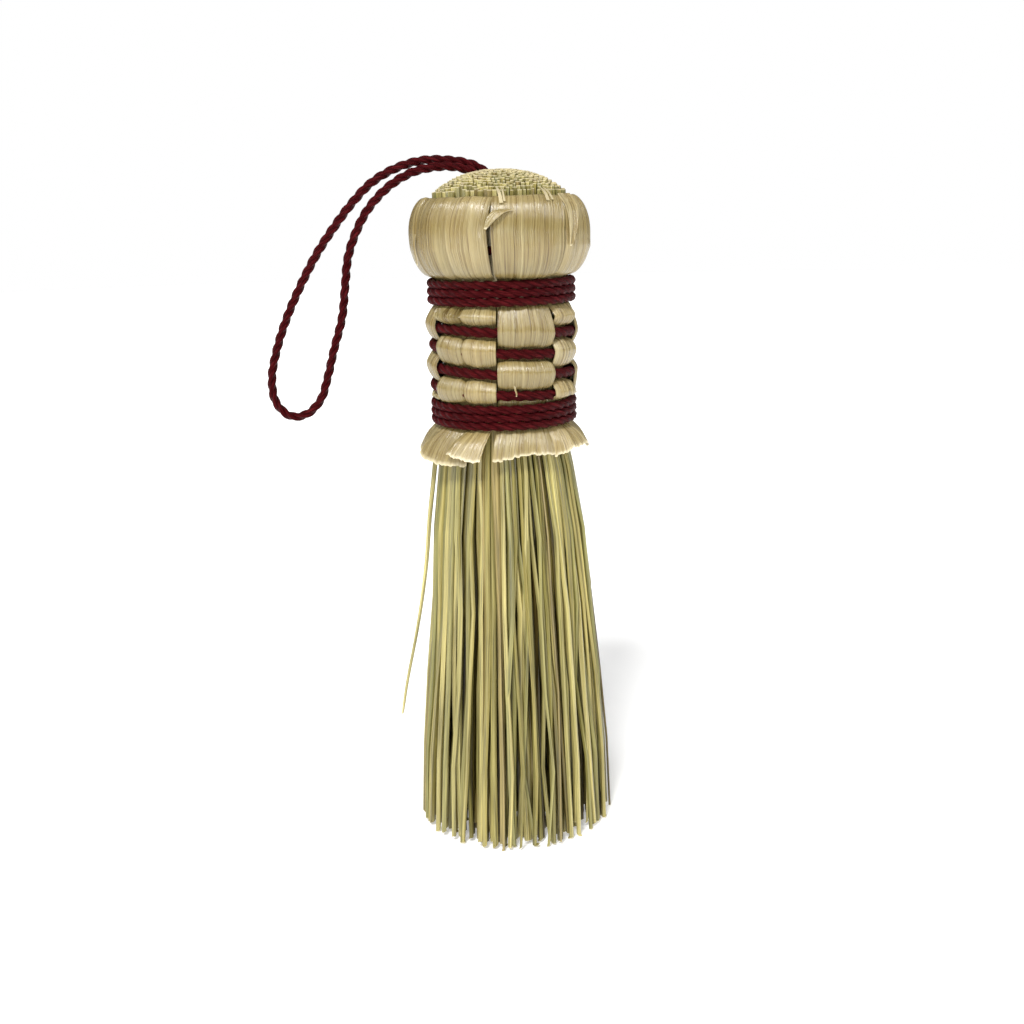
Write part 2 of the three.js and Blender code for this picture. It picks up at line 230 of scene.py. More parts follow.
# Relief of a strip: depth, width and length of its ribs, dents and swells.
SKIN_RELIEF = ((0.07, 0.75, 30), (0.13, 2.1, 26), (0.2, 5.5, 9))
# Depth and width of the notches in the cut end, and of the waves of the skirt.
NOTCHES = ((0.32, 0.5), (0.448, 3.1))
SKIRT_WAVE = (0.3, 4.2)
# Gathers of the first pillow: width, how far they wander, depth and how dark their hollows are: painted
# shade.
GATHER_WIDTH = 1.05
GATHER_WANDER = 0.3
GATHER_DEPTH = 0.6
GATHER_PAINTED_SHADE = 0.45
CREASE_DEPTH = 0.14
# How far from an edge its rounding reaches, as shares and widths, how much of it the skirt takes back,
# and how far the lift of an edge reaches.
ROUNDING = ((1, 0.8), (0.5, 3))
SKIRT_EASE = 0.7
LIFT_WIDTH = 1.1
# How much lighter the skin is around a station, and over how many stations: a painted highlight band by
# the crease under the belly and painted shade across the upper belly.
PAINTED_LIGHT_AND_SHADE = ((0.06, 9.3, 0.7), (-0.15, 7.4, 1.1))
# Share of its width that a strip loses in a dip, and the depths at which that starts and is full.
PINCH = 0.025
PINCH_DEPTHS = (0.4, 3.2)
# left and right are the azimuths of the two edges at the rim, the belly, the neck and the waist. ends are
# azimuth, radius and height of the cut end at its left, middle and right. lift is how far the two edges
# stand off at the belly, tuck how far they are rounded in, pleats how deep the gathers of the first pillow
# are, and tone how light the strip is: its own lightness, with painted shade on strip_b1.
Strip = namedtuple("Strip", "name panel left right ends lift tuck pleats tone")
STRIPS = (
    Strip("strip_a", 0, (-120, -120, -119, -119), (-64, -62.5, -61.5, -59.6),
          ((-118, 22.6, 108.4), (-92, 23.0, 107.8), (-64, 21.8, 108.6)), (0, -0.35), (0.4, 0.2), 0, 0.98),
    # strip_b1's lower tone is painted shade.
    Strip("strip_b1", 1, (-64.5, -64.4, -62.5, -60.4), (-31, -33, -33.0, -30.9),
          ((-70, 24.0, 107.6), (-52, 22.9, 106.2), (-29, 21.2, 106.2)), (0.2, -0.15), (0.2, 0.5),
          0.9, 0.9),
    Strip("strip_b2", 1, (-31.6, -35.2, -32.4, -30.3), (-2.8, -8.2, -4.0, -5.8),
          ((-41, 23.6, 110.0), (-30, 24.0, 108.3), (-16.5, 23.0, 107.2)), (0.2, -0.3), (0.3, 0.4),
          0.08, 1.08),
    Strip("strip_c", 2, (-4.2, -5.4, -2.8, -4.8), (50, 42.3, 43.9, 41.2),
          ((-8.5, 21.6, 107.0), (13, 21.2, 108.8), (39.5, 20.7, 108.5)), (0.45, 0.45), (0.3, 0.3),
          0.12, 0.97),
    Strip("strip_d", 3, (50.6, 43.4, 44.8, 42.2), (80, 80, 79, 76),
          ((38.5, 21.0, 107.7), (57, 23.0, 109.0), (79, 22.8, 108.6)), (-0.35, 0.5), (0.5, 0.4),
          0.1, 1.2),
    Strip("strip_e1", 4, (81, 81, 80, 76), (107, 106, 106.5, 107),
          ((80, 22.4, 107.6), (96, 22.8, 107.9), (110, 22.2, 107.0)), (0, 0.1), (0.4, 0.2), 0.12, 0.97),
    Strip("strip_e2", 4, (107.2, 106.5, 106.9, 107.3), (135, 134, 134.5, 134),
          ((107, 21.9, 106.8), (121, 22.4, 107.2), (138, 22.0, 106.6)), (0.2, 0.3), (0.2, 0.4),
          0.2, 1.04),
    Strip("strip_f", 5, (135.6, 135.0, 135.2, 134.6), (184.5, 184, 184, 184),
          ((134, 22.2, 107.6), (160, 22.8, 107.0), (188, 22.4, 107.5)), (0.4, 0.2), (0.4, 0.3), 0.1, 1.0),
    Strip("strip_g1", 6, (185.2, 185.0, 184.8, 184.6), (212.6, 212, 213, 212.5),
          ((184, 22.6, 107.8), (199, 23.3, 107.4), (214, 22.8, 107.9)), (0, 0.2), (0.3, 0.2), 0.3, 0.94),
    Strip("strip_g2", 6, (213.0, 212.6, 213.4, 213.0), (239.5, 239.5, 240, 240),
          ((215, 21.8, 106.8), (228, 22.4, 106.4), (243, 22.6, 107.2)), (0.2, 0.1), (0.2, 0.4),
          0.1, 1.05),
)
# Torn slivers and fibres that stand off a strip, each as azimuth, radius, height and width along it.
SLIVERS = {
    "strip_c": (
        ((4, 23.0, 170.2, 3.6), (-0.5, 23.9, 169.6, 3.4), (-4.6, 24.6, 167.9, 2.2),
         (-8.0, 25.2, 165.6, 0.5)),
        ((1.6, 22.3, 171.6, 1.0), (0.6, 20.6, 173.7, 0.9), (-0.5, 18.6, 174.7, 0.7),
         (-1.8, 16.9, 175.4, 0.3)),
        ((3.6, 22.0, 172.0, 0.6), (3.0, 20.2, 173.9, 0.5), (2.6, 18.3, 174.8, 0.3),
         (2.0, 17.0, 175.3, 0.2)),
        ((33, 22.0, 172.0, 0.9), (34.5, 20.0, 173.9, 0.8), (35.8, 18.3, 174.7, 0.5),
         (37, 17.0, 175.2, 0.2)),
        ((37, 21.8, 172.2, 0.6), (38.2, 19.8, 174.0, 0.5), (39, 18.2, 174.8, 0.4),
         (40, 17.1, 175.2, 0.2)),
        ((8.4, 19.9, 126.6, 0.3), (8.8, 20.4, 125.6, 0.3), (9.4, 20.7, 124.8, 0.2),
         (9.1, 20.9, 124.1, 0.15)),
    ),
    "strip_d": (
        ((54.5, 20.0, 173.8, 5.4), (52.5, 22.8, 170.6, 4.8), (50.4, 24.0, 167.0, 3.6),
         (47.6, 24.6, 163.4, 2.0), (45.8, 24.7, 161.0, 0.5)),
    ),
    "strip_a": (
        ((-66, 23.6, 164.5, 0.7), (-65, 24.1, 161.5, 0.8), (-64, 23.9, 159, 0.7),
         (-63.5, 23.7, 156.8, 0.3)),
    ),
    "strip_f": (
        ((150, 22.2, 171.8, 0.8), (151, 20.2, 173.8, 0.7), (152, 18.4, 174.7, 0.4),
         (152.5, 17.1, 175.2, 0.2)),
    ),
}
SLIVER_COLUMNS = 7
SLIVER_THICKNESS = 0.2

# Points, lists of polygon arrays and of their corner coordinates, and named values for each point.
Surface = namedtuple("Surface", "points faces uvs fields")


# ---- Numbers ----

def polar(radius, azimuth, height):
    """Points (r sin a, -r cos a, z) for a radius, an azimuth in degrees from the front and a height."""
    angle = np.radians(azimuth)
    return np.stack(np.broadcast_arrays(radius * np.sin(angle), -radius * np.cos(angle), height), axis=-1)


def ramp(value, low, high):
    """0 up to low and 1 from high, with the smooth step 3t^2 - 2t^3 between them."""
    t = np.clip((value - low) / (high - low), 0, 1)
    return t * t * (3 - 2 * t)


def bell(value, middle, width):
    """exp(-t^2), where t is the distance from the middle in widths."""
    return np.exp(-(((value - middle) / width) ** 2))


def unit(vectors):
    return vectors / np.linalg.norm(vectors, axis=-1, keepdims=True)


def outwards(skin):
    """Unit normals of a grid whose rows run down and whose columns run to the right."""
    return unit(np.cross(np.gradient(skin, axis=1), -np.gradient(skin, axis=0)))


def relief(x, y, seed):
    """Smooth noise between -1 and 1: seeded values on a lattice of unit cells, blended by smooth steps."""
    lattice = np.random.default_rng(seed).uniform(-1, 1, (256, 256))
    column = np.floor(x).astype(int)
    row = np.floor(y).astype(int)
    right = ramp(x - column, 0, 1)
    up = ramp(y - row, 0, 1)
    def at(i, j):
        return lattice[(column + i) % 256, (row + j) % 256]
    low = at(0, 0) * (1 - right) + at(1, 0) * right
    high = at(0, 1) * (1 - right) + at(1, 1) * right
    return low * (1 - up) + high * up


def spline(stations, samples):
    """Centripetal Catmull-Rom spline through the stations along the first axis, each stretch cut in
    samples equal steps of its own parameter. Further axes hold side by side lines."""
    points = np.asarray(stations, float)
    points = np.concatenate([2 * points[:1] - points[1:2], points, 2 * points[-1:] - points[-2:-1]])
    gaps = np.sqrt(np.linalg.norm(np.diff(points, axis=0), axis=-1, keepdims=True)) + 1e-6
    p0, p1, p2, p3 = points[:-3], points[1:-2], points[2:-1], points[3:]
    g0, g1, g2 = gaps[:-2], gaps[1:-1], gaps[2:]
    start = g1 * ((p1 - p0) / g0 - (p2 - p0) / (g0 + g1) + (p2 - p1) / g1)
    stop = g1 * ((p2 - p1) / g1 - (p3 - p1) / (g1 + g2) + (p3 - p2) / g2)
    t = (np.arange(samples) / samples).reshape((1, -1) + (1,) * (points.ndim - 1))
    p1, p2, start, stop = (part[:, None] for part in (p1, p2, start, stop))
    curve = ((2 * t**3 - 3 * t**2 + 1) * p1 + (t**3 - 2 * t**2 + t) * start
             + (3 * t**2 - 2 * t**3) * p2 + (t**3 - t**2) * stop)
    return np.concatenate([curve.reshape((-1,) + points.shape[1:]), points[-2:-1]])


def walked(points):
    """Distance from the first point to each point along the first axis."""
    steps = np.linalg.norm(np.diff(points, axis=0), axis=-1)
    return np.concatenate([np.zeros_like(steps[:1]), np.cumsum(steps, axis=0)])


def evenly(points, spacing):
    """The same polyline with its points about spacing apart."""
    distance = walked(points)
    count = round(distance[-1] / spacing) + 1
    at = np.linspace(0, distance[-1], count)
    return np.stack([np.interp(at, distance, axis) for axis in points.T], axis=-1)


# ---- Meshes ----

def wrapped_quads(rows, columns):
    """Quads of a grid whose columns close on themselves, first corner, along the row, next row, back."""
    corner = np.arange(rows * columns).reshape(rows, columns)
    after = np.roll(corner, -1, axis=1)
    return np.stack([corner[:-1], after[:-1], after[1:], corner[1:]], axis=-1).reshape(-1, 4)


def wrapped_uv(across, along):
    """Corner coordinates of the wrapped grid's quads. across has one more value than the grid has
    columns, so that the last column of quads closes without a jump."""
    u = np.broadcast_to(across, (len(along), len(across)))
    v = np.broadcast_to(along.reshape(len(along), -1), u.shape)
    grid = np.stack([u, v], axis=-1)
    quads = [grid[:-1, :-1], grid[:-1, 1:], grid[1:, 1:], grid[1:, :-1]]
    return np.stack(quads, axis=2).reshape(-1, 2)


def signed_volume(points, polygons):
    """Sum of the tetrahedra from the origin to each polygon's fan of triangles."""
    first = points[polygons[:, :1]]
    return sum(
        np.einsum("ij,ij->", first[:, 0], np.cross(points[polygons[:, i]], points[polygons[:, i + 1]]))
        for i in range(1, polygons.shape[1] - 1)
    )


def build(name, surface, material, node):
    """Closed mesh object in metres that stands for a node of the frame."""
    points = surface.points.reshape(-1, 3)
    faces = surface.faces
    if sum(signed_volume(points, polygons) for polygons in faces) <= 0:
        raise RuntimeError(f"the faces of {name} point inwards")
    mesh = bpy.data.meshes.new(name)
    corners = np.concatenate([polygons.ravel() for polygons in faces])
    sizes = np.concatenate([np.full(len(polygons), polygons.shape[1]) for polygons in faces])
    mesh.vertices.add(len(points))
    mesh.vertices.foreach_set("co", (points * MM).ravel())
    mesh.loops.add(len(corners))
    mesh.loops.foreach_set("vertex_index", corners.astype(np.int32))
    mesh.polygons.add(len(sizes))
    mesh.polygons.foreach_set("loop_start", (np.cumsum(sizes) - sizes).astype(np.int32))
    mesh.update(calc_edges=True)
    layer = mesh.uv_layers.new(name=FIBRE_UV)
    layer.data.foreach_set("uv", np.concatenate([uv.reshape(-1, 2) for uv in surface.uvs]).ravel())
    for key, values in surface.fields.items():
        attribute = mesh.attributes.new(key, "FLOAT", "POINT")
        attribute.data.foreach_set("value", values.ravel().astype(np.float32))
    mesh.shade_smooth()
    mesh.set_sharp_from_angle(angle=math.radians(SHARP_ANGLE))
    mesh.materials.append(material)
    piece = bpy.data.objects.new(name, mesh)
    bpy.context.scene.collection.objects.link(piece)
    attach(piece, "root")
    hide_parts(node)
    return piece


def join(surfaces):
    """Several surfaces with the same fields as one."""
    points = [surface.points.reshape(-1, 3) for surface in surfaces]
    starts = np.cumsum([0] + [len(own) for own in points])
    return Surface(
        np.concatenate(points),
        [polygons + start for surface, start in zip(surfaces, starts) for polygons in surface.faces],
        [uv for surface in surfaces for uv in surface.uvs],
        {key: np.concatenate([surface.fields[key].ravel() for surface in surfaces])
         for key in surfaces[0].fields},
    )


# ---- Materials ----

def add_node(tree, kind, inputs=None, **settings):
    """Node of a kind with its settings. An input's value is a socket to link from, or a plain value."""
    node = tree.nodes.new(kind)
    for key, value in settings.items():
        setattr(node, key, value)
    for key, value in (inputs or {}).items():
        if isinstance(value, bpy.types.NodeSocket):
            tree.links.new(value, node.inputs[key])
        else:
            node.inputs[key].default_value = value
    return node


def colour_ramp(tree, factor, *stops):
    """Colour ramp over stops of position and colour."""
    node = add_node(tree, "ShaderNodeValToRGB", {"Fac": factor})
    elements = node.color_ramp.elements
    while len(elements) < len(stops):
        elements.new(1)
    for element, (position, colour) in zip(elements, stops):
        element.position = position
        element.color = (*colour, 1)
    return node.outputs["Color"]


def grey_ramp(tree, factor, *stops):
    return colour_ramp(tree, factor, *((position, (value,) * 3) for position, value in stops))


def blend(tree, factor, first, second, mode="MIX"):
    """Mix of two colours."""
    node = add_node(tree, "ShaderNodeMix", {0: factor, 6: first, 7: second}, data_type="RGBA",
                    blend_type=mode)
    return node.outputs[2]


def maths(tree, operation, first, second):
    return add_node(tree, "ShaderNodeMath", {0: first, 1: second}, operation=operation).outputs[0]


def field(tree, name):
    return add_node(tree, "ShaderNodeAttribute", attribute_name=name).outputs["Fac"]


def toned(tree, colour):
    """The colour times the tone of the place that it is on, which is browner where it is darker. The tone
    carries painted shade on stems deep in the bundle, in the gathers' hollows, on strip_b1 and across the
    upper belly, and a painted highlight band by the crease.
    """
    tone = field(tree, "tone")
    warm = {0: tone, 1: maths(tree, "POWER", tone, 1.12), 2: maths(tree, "POWER", tone, 1.7)}
    tint = add_node(tree, "ShaderNodeCombineColor", warm).outputs[0]
    return blend(tree, 1.0, colour, tint, "MULTIPLY")


def stretched_noise(tree, across, along, seed, detail=3.0, slant=0.0):
    """Noise on the fibre coordinates, with cells 1/across wide and 1/along long, in millimetres. The
    third coordinate is a seed. slant shears the cells, as the filaments of a twisted ply are."""
    uv = add_node(tree, "ShaderNodeUVMap", uv_map=FIBRE_UV).outputs["UV"]
    parts = add_node(tree, "ShaderNodeSeparateXYZ", {0: uv}).outputs
    sheared = maths(tree, "ADD", parts["X"], maths(tree, "MULTIPLY", parts["Y"], slant))
    place = add_node(tree, "ShaderNodeCombineXYZ", {
        "X": maths(tree, "MULTIPLY", sheared, across),
        "Y": maths(tree, "MULTIPLY", parts["Y"], along),
        "Z": seed,
    }).outputs[0]
    return add_node(tree, "ShaderNodeTexNoise", {
        "Vector": place, "Scale": 1.0, "Detail": detail, "Roughness": 0.6,
    }).outputs["Fac"]


def new_material(name):
    material = bpy.data.materials.new(name)
    material.use_nodes = True
    tree = material.node_tree
    return material, tree, tree.nodes["Principled BSDF"]


def finish_surface(tree, shader, colour, roughness, height, depth, **sockets):
    """Links colour, roughness and a bump of a depth in metres, and sets the shader's other sockets."""
    bump = add_node(tree, "ShaderNodeBump", {"Strength": 1.0, "Distance": depth, "Height": height})
    tree.links.new(colour, shader.inputs["Base Color"])
    tree.links.new(roughness, shader.inputs["Roughness"])
    tree.links.new(bump.outputs["Normal"], shader.inputs["Normal"])
    for key, value in sockets.items():
        shader.inputs[key.replace("_", " ")].default_value = value


# How the thin lines between the fibres tint the skin.
SKIN_LINES = (
    (0.33, (0.42, 0.34, 0.24)), (0.42, (0.86, 0.83, 0.78)), (0.5, (1.0, 1.0, 1.0)),
    (0.7, (1.12, 1.12, 1.12)),
)
MARK_COLOUR = (0.27, 0.16, 0.07, 1)
FILAMENT_SLANT = 0.55


def skin_material(colours):
    """Satin stalk skin: fine and broad fibres along the strip, soft blotches, thin brown marks, and paler
    pith on cut ends and on the inner side."""
    material, tree, shader = new_material("satin_skin")
    tint = field(tree, "tint")

    def fibres(across, along, seeds, detail):
        return stretched_noise(tree, across, along, maths(tree, "MULTIPLY", tint, seeds), detail)

    fine = fibres(4.2, 0.035, 31.0, 4.0)
    broad = fibres(0.85, 0.02, 17.0, 2.0)
    blotch = fibres(0.12, 0.1, 53.0, 3.0)
    lines = fibres(2.3, 0.028, 71.0, 3.0)
    marks = fibres(1.6, 0.12, 91.0, 5.0)
    dark, mid, pale = colours.skin_dark, colours.skin, colours.skin_pale
    colour = blend(tree, 0.4, colour_ramp(tree, fine, (0.28, dark), (0.47, mid), (0.72, pale)),
                   colour_ramp(tree, broad, (0.3, dark), (0.5, mid), (0.7, pale)))
    # toned brings in the painted highlight and painted shade of the belly bands, the gathers' hollows and
    # each strip's tone.
    colour = toned(tree, blend(tree, 0.9, colour, colour_ramp(tree, lines, *SKIN_LINES), "MULTIPLY"))
    warm = colour_ramp(tree, blotch, (0.35, (0.92, 0.84, 0.66)), (0.62, (1.0, 1.0, 1.0)))
    colour = blend(tree, 0.8, colour, warm, "MULTIPLY")
    colour = blend(tree, grey_ramp(tree, marks, (0.71, 0.0), (0.78, 0.5)), colour, MARK_COLOUR)
    pith = maths(tree, "MAXIMUM", field(tree, "cut"), maths(tree, "MULTIPLY", field(tree, "inside"), 0.55))
    colour = blend(tree, pith, colour, (*colours.pith, 1))
    roughness = grey_ramp(tree, broad, (0.3, 0.22), (0.7, 0.38))
    ribs = maths(tree, "ADD", maths(tree, "MULTIPLY", lines, 1.4), maths(tree, "MULTIPLY", broad, 0.7))
    finish_surface(tree, shader, colour, roughness, maths(tree, "ADD", fine, ribs), 0.0002,
                   Anisotropic=0.7, Specular_IOR_Level=0.8, Coat_Weight=0.16, Coat_Roughness=0.24)
    tangent = add_node(tree, "ShaderNodeTangent", direction_type="UV_MAP", uv_map=FIBRE_UV)
    tree.links.new(tangent.outputs[0], shader.inputs["Tangent"])
    return material


def stem_material(colours):
    """Dry straw: each stem has its own tint between green, yellow and tan, with lengthwise streaks, a
    dusty darker patch here and there, and pale pith on its cut ends."""
    material, tree, shader = new_material("dry_straw")
    tint = field(tree, "tint")
    seed = maths(tree, "MULTIPLY", tint, 137.0)
    streak = stretched_noise(tree, 2.6, 0.045, seed, 4.0)
    patch = stretched_noise(tree, 0.25, 0.03, seed, 2.0)
    green, straw, pale, tan = colours.stem_green, colours.stem, colours.stem_pale, colours.stem_tan
    own = colour_ramp(tree, tint, (0.0, green), (0.25, straw), (0.6, pale), (0.85, green), (0.95, tan))
    shade = grey_ramp(tree, streak, (0.34, 0.42), (0.45, 0.85), (0.56, 1.1), (0.68, 1.45))
    dusty = grey_ramp(tree, patch, (0.32, 0.66), (0.55, 1.0))
    colour = blend(tree, 0.75, blend(tree, 1.0, own, shade, "MULTIPLY"), dusty, "MULTIPLY")
    pith = maths(tree, "MULTIPLY", field(tree, "cut"), 0.85)
    # toned darkens the stems deep in the bundle with painted shade.
    colour = blend(tree, pith, toned(tree, colour), (*colours.pith, 1))
    roughness = grey_ramp(tree, streak, (0.3, 0.3), (0.7, 0.46))
    finish_surface(tree, shader, colour, roughness, streak, 0.00012, Specular_IOR_Level=0.6)
    return material


def cord_material(colours):
    """Twisted maroon cord: filaments that run nearly along the rope on every ply, the palest of them a
    painted highlight, darker in the valleys between plies with painted shade, and with the soft sheen of
    spun fibre."""
    material, tree, shader = new_material("twisted_cord")
    filament = stretched_noise(tree, 4.6, 0.2, 0.0, 3.0, FILAMENT_SLANT)
    wide = stretched_noise(tree, 0.9, 0.07, 4.0, 2.0, FILAMENT_SLANT)
    # The palest filaments of the ramp are a painted highlight.
    colour = colour_ramp(tree, filament, (0.3, colours.cord_dark), (0.5, colours.cord),
                         (0.72, colours.cord_light))
    colour = blend(tree, 0.5, colour, grey_ramp(tree, wide, (0.35, 0.6), (0.65, 1.2)), "MULTIPLY")
    # Painted shade: the valleys between plies are blended towards the dark colour.
    painted_valley_shade = maths(tree, "MULTIPLY", field(tree, "painted_valley_shade"), 0.92)
    colour = blend(tree, painted_valley_shade, colour, (*colours.cord_dark, 1))
    roughness = grey_ramp(tree, filament, (0.3, 0.42), (0.7, 0.6))
    finish_surface(tree, shader, colour, roughness, filament, 0.0004, Sheen_Weight=0.03,
                   Sheen_Roughness=0.4, Sheen_Tint=(0.8, 0.15, 0.17, 1), Specular_IOR_Level=0.3,
                   Specular_Tint=(0.5, 0.08, 0.09, 1))
    return material


def material_for(name):
    """The finish of that name, made on first use."""
    makers = {"satin_skin": skin_material, "dry_straw": stem_material, "twisted_cord": cord_material}
    return bpy.data.materials.get(name) or makers[name](bpy.context.scene.whisk_colours)


# ---- Surfaces ----

def rope(path, outward, radius, lay, closed=False):
    """Laid rope. Around a ply's crest the section is b cos(p) + sqrt(a^2 - b^2 sin(p)^2), which is a round
    ply of radius a at b from the rope's middle, no lower than the pressed valley. The section turns
    right-handed once in each lay as it is carried along the path. Coordinates are millimetres."""
    distance = walked(path)
    if closed:
        tangent = unit(np.roll(path, -1, axis=0) - np.roll(path, 1, axis=0))
    else:
        tangent = unit(np.gradient(path, axis=0))
    normal = unit(outward - (outward * tangent).sum(axis=1, keepdims=True) * tangent)
    side = np.cross(tangent, normal)
    around = np.linspace(0, 2 * np.pi, PLIES * PLY_SAMPLES, endpoint=False)
    ply = 2 * np.pi / PLIES
    off_crest = (around + ply / 2) % ply - ply / 2
    own = PLY_RADIUS**2 - (PLY_OFFSET * np.sin(off_crest)) ** 2
    section = PLY_OFFSET * np.cos(off_crest) + np.sqrt(np.maximum(own, 0))
    section = radius * np.maximum(section, PLY_VALLEY)
    total = distance[-1] + np.linalg.norm(path[0] - path[-1])
    turns = round(total / lay) / total if closed else 1 / lay
    turned = around[None, :] + 2 * np.pi * turns * distance[:, None]
    offset = np.cos(turned)[..., None] * normal[:, None] + np.sin(turned)[..., None] * side[:, None]
    points = path[:, None] + section[None, :, None] * offset
    rows, columns = turned.shape
    girth = np.linspace(0, 2 * np.pi * radius, columns + 1)
    first = np.arange(columns)
    last = first + (rows - 1) * columns
    if closed:
        ends = np.stack([last, np.roll(last, -1), np.roll(first, -1), first], axis=-1)
        end_uv = wrapped_uv(girth, np.array([distance[-1], total]))
    else:
        ends = np.array([first[::-1], last])
        end_uv = np.zeros((ends.size, 2))
    # Painted shade in the valleys between plies.
    painted_valley_shade = np.broadcast_to(ramp(np.abs(off_crest), VALLEY_START * ply, 0.5 * ply), (rows, columns))
    return Surface(points, [wrapped_quads(rows, columns), ends], [wrapped_uv(girth, distance), end_uv],
                   {"painted_valley_shade": painted_valley_shade})


def helix(radius, start, end, height_at):
    """Line around the Z axis with a height for each azimuth, and the way outward at each of its points."""
    count = round(math.radians(end - start) * radius / ROPE_STEP)
    azimuth = np.linspace(start, end, count)
    return polar(radius, azimuth, height_at(azimuth)), polar(1.0, azimuth, 0.0 * azimuth)


def level_turns(middle, turns):
    """Height of turns around a middle height that run level and step down by the pitch at the back."""
    def height_at(azimuth):
        turn = azimuth / 360 + (turns - 1) / 2
        offset = turn - np.round(turn)
        step = np.clip((np.abs(offset) - BAND_LEVEL_SHARE / 2) / (1 - BAND_LEVEL_SHARE), 0, None)
        return middle + BAND_PITCH * ((turns - 1) / 2 - np.round(turn) - np.sign(offset) * step)
    return height_at


def weft_height(azimuth):
    return FIRST_ROW_Z - WEFT_PITCH * azimuth / 360


def crown_height(radius):
    """Dome of the crown: it falls from its top by a power of the radius."""
    return CROWN_TOP - CROWN_DROP * (radius / CROWN_RADIUS) ** CROWN_POWER


def spread_in_disc(count, rng):
    """Points in the unit disc, spread by pushing apart all that are nearer than in a hexagonal packing."""
    angle = rng.uniform(0, 2 * np.pi, count)
    reach = np.sqrt(rng.uniform(0, 1, count))
    places = np.stack([reach * np.cos(angle), reach * np.sin(angle)], axis=-1)
    spacing = math.sqrt(2 * math.pi / (math.sqrt(3) * count))
    for _ in range(SPREAD_ROUNDS):
        apart = places[:, None] - places[None, :]
        distance = np.linalg.norm(apart, axis=-1) + 1e-9
        push = np.clip(spacing / distance - 1, 0, 4) * (distance > 1e-6)
        places = places + SPREAD_PUSH * (apart * push[..., None]).sum(axis=1)
        reach = np.linalg.norm(places, axis=1, keepdims=True)
        places = places * np.minimum(1, (1 - spacing / 2) / np.maximum(reach, 1e-9))
    return places / (1 - spacing / 2)


def stem_tubes(centres, radii, tint, tone, slope, rng):
    """Six-sided stems, slightly oval, through rows of centres from the top down, with a flat cut on top
    and a slanting one at the tip. centres is stems x rings x 3, radii is stems x rings, and tint, tone and
    the slope of the slanting cut are one for each stem."""
    stems, rings, _ = centres.shape
    turn = rng.uniform(0, 2 * np.pi, (stems, 1, 1))
    around = turn + np.linspace(0, 2 * np.pi, STEM_SIDES, endpoint=False)
    oval = 1 + STEM_OVAL * np.cos(2 * (around - turn) + turn * 7)
    x = centres[..., 0:1] + radii[..., None] * oval * np.cos(around)
    y = centres[..., 1:2] + radii[..., None] * oval * np.sin(around)
    z = centres[..., 2:3] + 0 * x
    z[:, -1] += slope[:, None] * radii[:, -1:] * (1 + np.cos(around[:, 0]))
    starts = np.arange(stems)[:, None, None] * rings * STEM_SIDES
    quads = (wrapped_quads(rings, STEM_SIDES)[:, ::-1] + starts).reshape(-1, 4)
    side = np.arange(STEM_SIDES)
    caps = np.stack([side, side[::-1] + (rings - 1) * STEM_SIDES])
    caps = (caps + starts).reshape(-1, STEM_SIDES)
    girth = np.linspace(0, 2 * np.pi * radii.mean(), STEM_SIDES + 1)
    uv = wrapped_uv(girth, walked(centres[0])).reshape(-1, 4, 2)[:, ::-1].reshape(-1, 2)
    cut = np.zeros((stems, rings, STEM_SIDES))
    cut[:, 0] = 1
    cut[:, -1] = 0.5
    # The tone is painted shade on stems deep in the bundle; the rings that the crown shows are left out of
    # it.
    is_crown = np.arange(rings)[None, :, None] < CROWN_RINGS
    tones = np.where(is_crown, 1, tone[:, None, None]) + 0 * cut
    return Surface(np.stack([x, y, z], axis=-1), [quads, caps],
                   [np.tile(uv, (stems, 1)), np.zeros((caps.size, 2))],
                   {"tint": tint[:, None, None] + 0 * cut, "tone": tones, "cut": cut})


def ribbon(skin, thickness, across, along, tint, tone, cut):
    """Closed ribbon: the skin side as given, the back side thickness below it along its normals, walls
    along both edges, and a ladder of quads over each end. across and along are millimetres on the skin,
    and tone and cut are values on its grid."""
    back = skin - thickness * outwards(skin)
    rows, columns = skin.shape[:2]
    quads = wrapped_quads(rows, 2 * columns)[:, ::-1]
    step = np.arange(columns - 1)
    ladder = np.stack([step, step + 1, 2 * columns - 2 - step, 2 * columns - 1 - step], axis=-1)
    ladders = np.concatenate([ladder, ladder[:, ::-1] + (rows - 1) * 2 * columns])

    def both(front, rear):
        return np.concatenate([front, rear[:, ::-1]], axis=1)

    flat = np.stack([across, along], axis=-1)
    grid = np.concatenate([both(flat, flat), flat[:, :1]], axis=1)
    uv = np.stack([grid[1:, :-1], grid[1:, 1:], grid[:-1, 1:], grid[:-1, :-1]], axis=2).reshape(-1, 2)
    tone = tone + 0 * across
    fields = {"tint": np.full((rows, 2 * columns), tint), "tone": both(tone, tone), "cut": both(cut, cut),
              "inside": both(0 * across, 1 + 0 * across)}
    return Surface(both(skin, back), [quads, ladders],
                   [uv, grid.reshape(-1, 2)[:1].repeat(ladders.size, axis=0)], fields)


def weft_rows(panel):
    """Rows of weft that cross a panel, from the top down, each with whether the cord lies over it."""
    first = 0 if panel >= FIRST_WEFT_PANEL else 1
    last = ROWS if panel <= LAST_WEFT_PANEL else ROWS - 1
    return [(row, (panel + row) % 2 == 0) for row in range(first, last + 1)]


